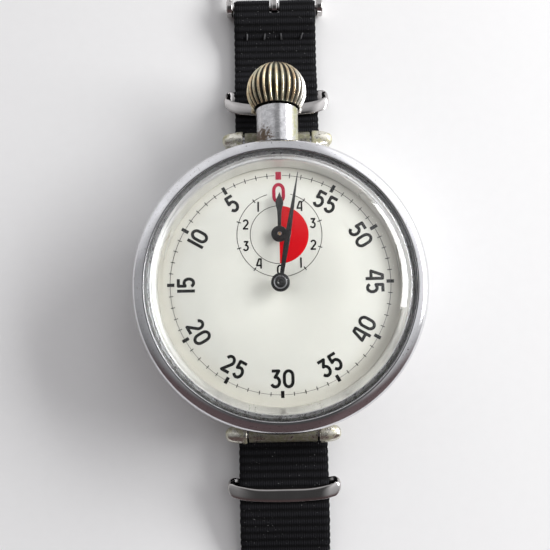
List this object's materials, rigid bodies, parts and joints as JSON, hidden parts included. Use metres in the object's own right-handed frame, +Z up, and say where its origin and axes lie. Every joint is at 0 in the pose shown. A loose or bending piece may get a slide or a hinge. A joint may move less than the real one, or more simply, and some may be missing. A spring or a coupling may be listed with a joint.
{
  "type": "mechanical stopwatch",
  "caption": "Round chromed countdown stopwatch with a fluted ball crown, domed crystal and small minute dial, hung in hinged lugs on a black woven strap with steel keepers.",
  "frame": {"origin": "on the flat underside of the under-strap, straight below the centre of the dial", "axes": "+Z up out of the dial, +Y towards the crown at twelve o'clock and the buckle, +X towards three o'clock"},
  "size_m": [0.057, 0.2474, 0.019],
  "materials": {
    "case_chrome": "polished chrome plate with fine scratches and some corrosion at the joints",
    "crystal_clear": "clear acrylic with a bevelled shoulder",
    "dial_silver": "matt silvered with printed scales",
    "hand_black": "black with a satin sheen",
    "crown_worn": "plate worn through to brass on the ridges, dirt between them",
    "webbing_black": "ribbed woven nylon",
    "keeper_steel": "polished stainless",
    "steel_work": "ground steel",
    "brass_work": "gilt brass",
    "plate_nickel": "matt nickel plate"
  },
  "bodies": {
    "root": {"case_band": "case_chrome", "case_back": "case_chrome", "bezel": "case_chrome", "pendant_tube": "case_chrome", "lug_knuckle_top": "case_chrome", "lug_knuckle_bottom": "case_chrome", "crystal": "crystal_clear", "dial": "dial_silver", "strap_main": "webbing_black", "strap_under": "webbing_black", "keeper_upper": "keeper_steel", "keeper_lower": "keeper_steel", "buckle_bar": "keeper_steel", "rehaut_ring": "steel_work", "lug_pin_top": "steel_work", "lug_pin_bottom": "steel_work", "crown_spring": "steel_work", "click_spring": "steel_work", "barrel_bridge_screw": "steel_work", "train_bridge_screw": "steel_work", "balance_cock_screw": "steel_work", "mainplate": "plate_nickel", "barrel_bridge": "plate_nickel", "train_bridge": "plate_nickel", "balance_cock": "plate_nickel"},
    "lug_stirrup_top": {"lug_stirrup_top": "case_chrome"},
    "lug_stirrup_bottom": {"lug_stirrup_bottom": "case_chrome"},
    "winding_pinion": {"winding_pinion": "steel_work"},
    "crown": {"crown": "crown_worn", "winding_stem": "steel_work"},
    "crown_wheel": {"crown_wheel": "steel_work"},
    "ratchet_wheel": {"ratchet_wheel": "steel_work", "barrel_arbor": "steel_work"},
    "click": {"click": "steel_work"},
    "sweep": {"seconds_wheel": "brass_work", "sweep_hand": "hand_black", "seconds_heart_cam": "steel_work"},
    "third_wheel": {"third_wheel": "brass_work"},
    "second_wheel": {"second_wheel": "brass_work"},
    "barrel": {"barrel": "brass_work", "barrel_cover": "brass_work", "mainspring": "steel_work"},
    "escape_wheel": {"escape_wheel": "steel_work"},
    "pallet_fork": {"pallet_fork": "steel_work"},
    "balance": {"balance_wheel": "brass_work", "hairspring": "steel_work"},
    "minute_idler": {"minute_idler_wheel": "brass_work"},
    "minute": {"minute_wheel": "brass_work", "minute_hand": "hand_black", "minute_heart_cam": "steel_work"},
    "column_wheel": {"column_wheel": "steel_work"},
    "operating_lever": {"operating_lever": "steel_work"},
    "reset_hammer": {"reset_hammer": "steel_work"},
    "brake_lever": {"brake_lever": "steel_work"},
    "buckle_frame": {"buckle_frame": "keeper_steel"},
    "buckle_tongue": {"buckle_tongue": "keeper_steel"}
  },
  "joints": [
    {"name": "lug_top_swing", "type": "hinge", "parent": "root", "child": "lug_stirrup_top", "pos_m": [0, 0.0308, 0.006], "axis": [1, 0, 0], "range_deg": [-2.5, 2.5]},
    {"name": "lug_bottom_swing", "type": "hinge", "parent": "root", "child": "lug_stirrup_bottom", "pos_m": [0, -0.0294, 0.006], "axis": [1, 0, 0], "range_deg": [-2.5, 2.5]},
    {"name": "crown_wind", "type": "hinge", "parent": "root", "child": "winding_pinion", "pos_m": [0, 0.0167, 0.0102], "axis": [0, 1, 0], "continuous": true},
    {"name": "crown_push", "type": "slide", "parent": "winding_pinion", "child": "crown", "axis": [0, -1, 0], "range_m": [0, 0.0012], "stiffness_N_per_m": 2500, "springref_m": -0.001},
    {"name": "crown_wheel_turn", "type": "hinge", "parent": "root", "child": "crown_wheel", "pos_m": [0, 0.01521, 0.007], "axis": [0, 0, 1], "continuous": true},
    {"name": "ratchet_turn", "type": "hinge", "parent": "root", "child": "ratchet_wheel", "pos_m": [-0.01139, 0.01005, 0.007], "axis": [0, 0, 1], "continuous": true},
    {"name": "click_lift", "type": "hinge", "parent": "root", "child": "click", "pos_m": [-0.01342, -0.00147, 0.005], "axis": [0, 0, 1], "range_deg": [0, 8], "stiffness_Nm_per_rad": 0.0001},
    {"name": "sweep_run", "type": "hinge", "parent": "root", "child": "sweep", "pos_m": [0, 0, 0.009], "axis": [0, 0, -1], "continuous": true},
    {"name": "third_turn", "type": "hinge", "parent": "root", "child": "third_wheel", "pos_m": [-0.00477, -0.00254, 0.009], "axis": [0, 0, -1], "continuous": true},
    {"name": "second_turn", "type": "hinge", "parent": "root", "child": "second_wheel", "pos_m": [-0.00952, 0.00043, 0.009], "axis": [0, 0, -1], "continuous": true},
    {"name": "barrel_turn", "type": "hinge", "parent": "root", "child": "barrel", "pos_m": [-0.01139, 0.01005, 0.009], "axis": [0, 0, -1], "continuous": true},
    {"name": "escape_turn", "type": "hinge", "parent": "root", "child": "escape_wheel", "pos_m": [0.00339, -0.00404, 0.009], "axis": [0, 0, -1], "continuous": true},
    {"name": "pallet_rock", "type": "hinge", "parent": "root", "child": "pallet_fork", "pos_m": [0.00659, -0.00692, 0.009], "axis": [0, 0, 1], "range_deg": [-4, 4]},
    {"name": "balance_swing", "type": "hinge", "parent": "root", "child": "balance", "pos_m": [0.0106, -0.01054, 0.0073], "axis": [0, 0, 1], "range_deg": [-135, 135], "stiffness_Nm_per_rad": 0.0000006},
    {"name": "minute_idler_turn", "type": "hinge", "parent": "root", "child": "minute_idler", "pos_m": [0, 0.00392, 0.0113], "axis": [0, 0, -1], "continuous": true},
    {"name": "minute_turn", "type": "hinge", "parent": "root", "child": "minute", "pos_m": [0, 0.00952, 0.0117], "axis": [0, 0, -1], "continuous": true},
    {"name": "column_step", "type": "hinge", "parent": "root", "child": "column_wheel", "pos_m": [0.0095, 0.0132, 0.0047], "axis": [0, 0, 1], "continuous": true},
    {"name": "operating_rock", "type": "hinge", "parent": "root", "child": "operating_lever", "pos_m": [0.0056, 0.018, 0.004], "axis": [0, 0, 1], "range_deg": [0, 16]},
    {"name": "hammer_rock", "type": "hinge", "parent": "root", "child": "reset_hammer", "pos_m": [0.0072, 0.0054, 0.0046], "axis": [0, 0, -1], "range_deg": [0, 3]},
    {"name": "brake_rock", "type": "hinge", "parent": "root", "child": "brake_lever", "pos_m": [0.015, -0.0014, 0.0046], "axis": [0, 0, -1], "range_deg": [0, 3]},
    {"name": "buckle_swing", "type": "hinge", "parent": "root", "child": "buckle_frame", "pos_m": [0, 0.0626, 0.0018], "axis": [1, 0, 0], "range_deg": [0, 70]},
    {"name": "tongue_swing", "type": "hinge", "parent": "buckle_frame", "child": "buckle_tongue", "pos_m": [0, 0.0626, 0.0018], "axis": [1, 0, 0], "range_deg": [0, 40]}
  ],
  "couplings": [
    {"joint": "crown_wheel_turn", "follows": "crown_wind", "ratio": 0.5},
    {"joint": "ratchet_turn", "follows": "crown_wind", "ratio": -0.19444},
    {"joint": "third_turn", "follows": "sweep_run", "ratio": -0.125},
    {"joint": "second_turn", "follows": "sweep_run", "ratio": 0.020833},
    {"joint": "barrel_turn", "follows": "sweep_run", "ratio": -0.0034722},
    {"joint": "escape_turn", "follows": "sweep_run", "ratio": -10},
    {"joint": "minute_idler_turn", "follows": "sweep_run", "ratio": -0.4},
    {"joint": "minute_turn", "follows": "sweep_run", "ratio": 0.1},
    {"joint": "operating_rock", "follows": "crown_push", "rad_per_m": 227.27}
  ]
}
